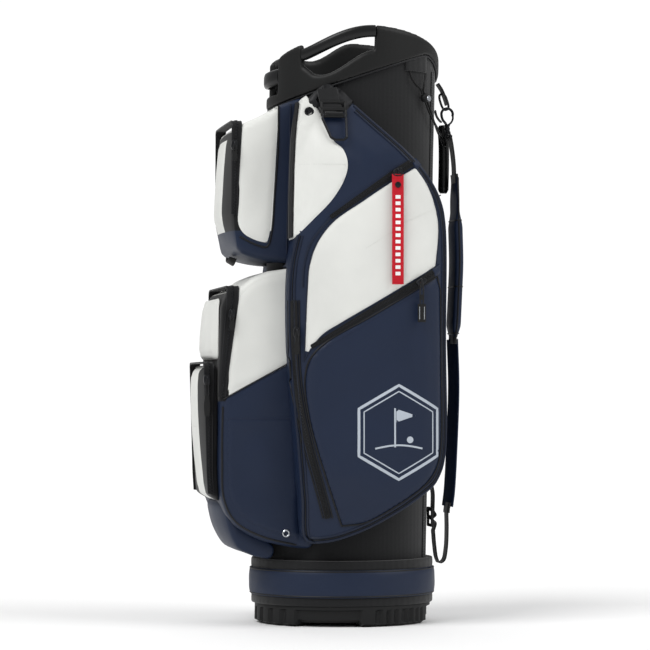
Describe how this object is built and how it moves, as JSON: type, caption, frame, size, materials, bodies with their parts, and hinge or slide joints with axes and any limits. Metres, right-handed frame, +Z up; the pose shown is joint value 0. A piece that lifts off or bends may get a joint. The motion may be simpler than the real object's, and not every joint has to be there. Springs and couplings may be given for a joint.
{
  "type": "golf cart bag",
  "caption": "Upright golf cart bag with ribbed base, full-length divided tube, moulded top collar, zipped pockets and one shoulder strap.",
  "frame": {"origin": "middle of the base on the floor", "axes": "+Z up, +Y towards the spine and the strap, -Y towards the ball pocket, +X towards the side pocket that carries the ribbon and the towel ring"},
  "size_m": [0.3302, 0.4152, 0.905],
  "materials": {
    "navy_leatherette": "embossed satin",
    "white_leatherette": "embossed satin",
    "charcoal_fabric": "coated woven, matte",
    "collar_plastic": "moulded, satin",
    "handle_plastic": "smooth, semi-gloss",
    "base_rubber": "moulded, matte",
    "black_webbing": "woven nylon",
    "zip_tape": "woven tape with coil teeth",
    "black_metal": "satin gunmetal",
    "stay_aluminium": "plain",
    "grip_rubber": "smooth, semi-gloss",
    "red_ribbon": "woven ribbon",
    "divider_fabric": "brushed"
  },
  "bodies": {
    "root": {"tube_shell": "charcoal_fabric", "stay_left": "stay_aluminium", "stay_right": "stay_aluminium", "divider_long_left": "divider_fabric", "divider_long_right": "divider_fabric", "divider_cross_1": "divider_fabric", "divider_cross_2": "divider_fabric", "divider_cross_3": "divider_fabric", "divider_cross_4": "divider_fabric", "base_boot": "base_rubber", "base_band_lower": "black_webbing", "base_binding": "black_webbing", "base_band": "navy_leatherette", "top_collar": "collar_plastic", "side_handle_bar": "handle_plastic", "front_handle_bar": "handle_plastic", "ball_pocket": "white_leatherette", "lower_pocket": "navy_leatherette", "mid_zip_pocket": "white_leatherette", "low_zip_pocket": "white_leatherette", "pocket_skirt": "navy_leatherette", "side_pocket_right": "navy_leatherette", "side_pocket_left": "navy_leatherette", "upper_side_zip": "zip_tape", "lower_side_zip": "zip_tape", "garment_zip": "zip_tape", "garment_zip_left": "zip_tape", "ball_zip": "zip_tape", "mid_zip": "zip_tape", "low_zip": "zip_tape", "towel_web": "black_webbing", "snap_button": "black_metal", "cord_tab": "black_webbing", "elastic_cord": "black_webbing", "spine_grip": "grip_rubber", "spine_web_top": "black_webbing", "spine_web_bottom": "black_webbing", "strap_anchor": "black_webbing", "snap_hook": "black_metal", "strap_web_upper": "black_webbing", "shoulder_pad": "navy_leatherette", "strap_lower": "navy_leatherette", "strap_tail": "black_webbing", "ladder_lock": "handle_plastic"},
    "upper_side_slider": {"upper_side_zip_slider": "black_metal"},
    "ribbon": {"ribbon_puller": "red_ribbon"},
    "lower_side_slider": {"lower_side_zip_slider": "black_metal"},
    "lower_side_puller": {"lower_side_zip_puller": "grip_rubber"},
    "garment_slider": {"garment_zip_slider": "black_metal"},
    "garment_puller": {"garment_zip_puller": "grip_rubber"},
    "ball_slider": {"ball_zip_slider": "black_metal"},
    "ball_puller": {"ball_zip_puller": "grip_rubber"},
    "mid_slider": {"mid_zip_slider": "black_metal"},
    "mid_puller": {"mid_zip_puller": "grip_rubber"},
    "low_slider": {"low_zip_slider": "black_metal"},
    "low_puller": {"low_zip_puller": "grip_rubber"},
    "garment_slider_left": {"garment_zip_slider_left": "black_metal"},
    "towel_ring": {"towel_ring": "black_metal"},
    "hook_gate": {"hook_gate": "black_metal"},
    "cord_toggle": {"cord_toggle": "handle_plastic"}
  },
  "joints": [
    {"name": "upper_side_zip_slide", "type": "slide", "parent": "root", "child": "upper_side_slider", "axis": [0, 0.8241, 0.5664], "range_m": [-0.108, 0.01]},
    {"name": "ribbon_swing", "type": "hinge", "parent": "upper_side_slider", "child": "ribbon", "pos_m": [0.1672, 0.054, 0.682], "axis": [0, -1, 0], "range_deg": [0, 85]},
    {"name": "lower_side_zip_slide", "type": "slide", "parent": "root", "child": "lower_side_slider", "axis": [0, 0.8616, 0.5075], "range_m": [-0.15, 0.008]},
    {"name": "lower_side_puller_swing", "type": "hinge", "parent": "lower_side_slider", "child": "lower_side_puller", "pos_m": [0.1672, 0.09, 0.518], "axis": [0, -1, 0], "range_deg": [0, 85]},
    {"name": "garment_zip_slide", "type": "slide", "parent": "root", "child": "garment_slider", "axis": [0, -0.0262, 0.9997], "range_m": [-0.055, 0.035]},
    {"name": "garment_puller_swing", "type": "hinge", "parent": "garment_slider", "child": "garment_puller", "pos_m": [0.15501, -0.0962, 0.442], "axis": [0, -1, 0], "range_deg": [0, 85]},
    {"name": "ball_zip_slide", "type": "slide", "parent": "root", "child": "ball_slider", "axis": [0, 0.0872, 0.9962], "range_m": [-0.092, 0.018]},
    {"name": "ball_puller_swing", "type": "hinge", "parent": "ball_slider", "child": "ball_puller", "pos_m": [0.0972, -0.181, 0.724], "axis": [0, -1, 0], "range_deg": [0, 85]},
    {"name": "mid_zip_slide", "type": "slide", "parent": "root", "child": "mid_slider", "axis": [0, 0.0767, 0.9971], "range_m": [-0.105, 0.018]},
    {"name": "mid_puller_swing", "type": "hinge", "parent": "mid_slider", "child": "mid_puller", "pos_m": [0.1092, -0.1865, 0.47], "axis": [0, -1, 0], "range_deg": [0, 85]},
    {"name": "low_zip_slide", "type": "slide", "parent": "root", "child": "low_slider", "axis": [0, -0.061, 0.9981], "range_m": [-0.155, 0.01]},
    {"name": "low_puller_swing", "type": "hinge", "parent": "low_slider", "child": "low_puller", "pos_m": [0.0912, -0.2215, 0.372], "axis": [0, -1, 0], "range_deg": [0, 85]},
    {"name": "garment_left_zip_slide", "type": "slide", "parent": "root", "child": "garment_slider_left", "axis": [0, -0.0262, 0.9997], "range_m": [-0.055, 0.035]},
    {"name": "towel_ring_swing", "type": "hinge", "parent": "root", "child": "towel_ring", "pos_m": [0.143, -0.038, 0.766], "axis": [0, -1, 0], "range_deg": [0, 75]},
    {"name": "hook_gate_open", "type": "hinge", "parent": "root", "child": "hook_gate", "pos_m": [0.024, 0.1674, 0.768], "axis": [1, 0, 0], "range_deg": [0, 22], "stiffness_Nm_per_rad": 0.02, "springref_deg": -17.19},
    {"name": "cord_toggle_slide", "type": "slide", "parent": "root", "child": "cord_toggle", "axis": [-0.3653, 0.4055, -0.8379], "range_m": [0, 0.007]}
  ]
}
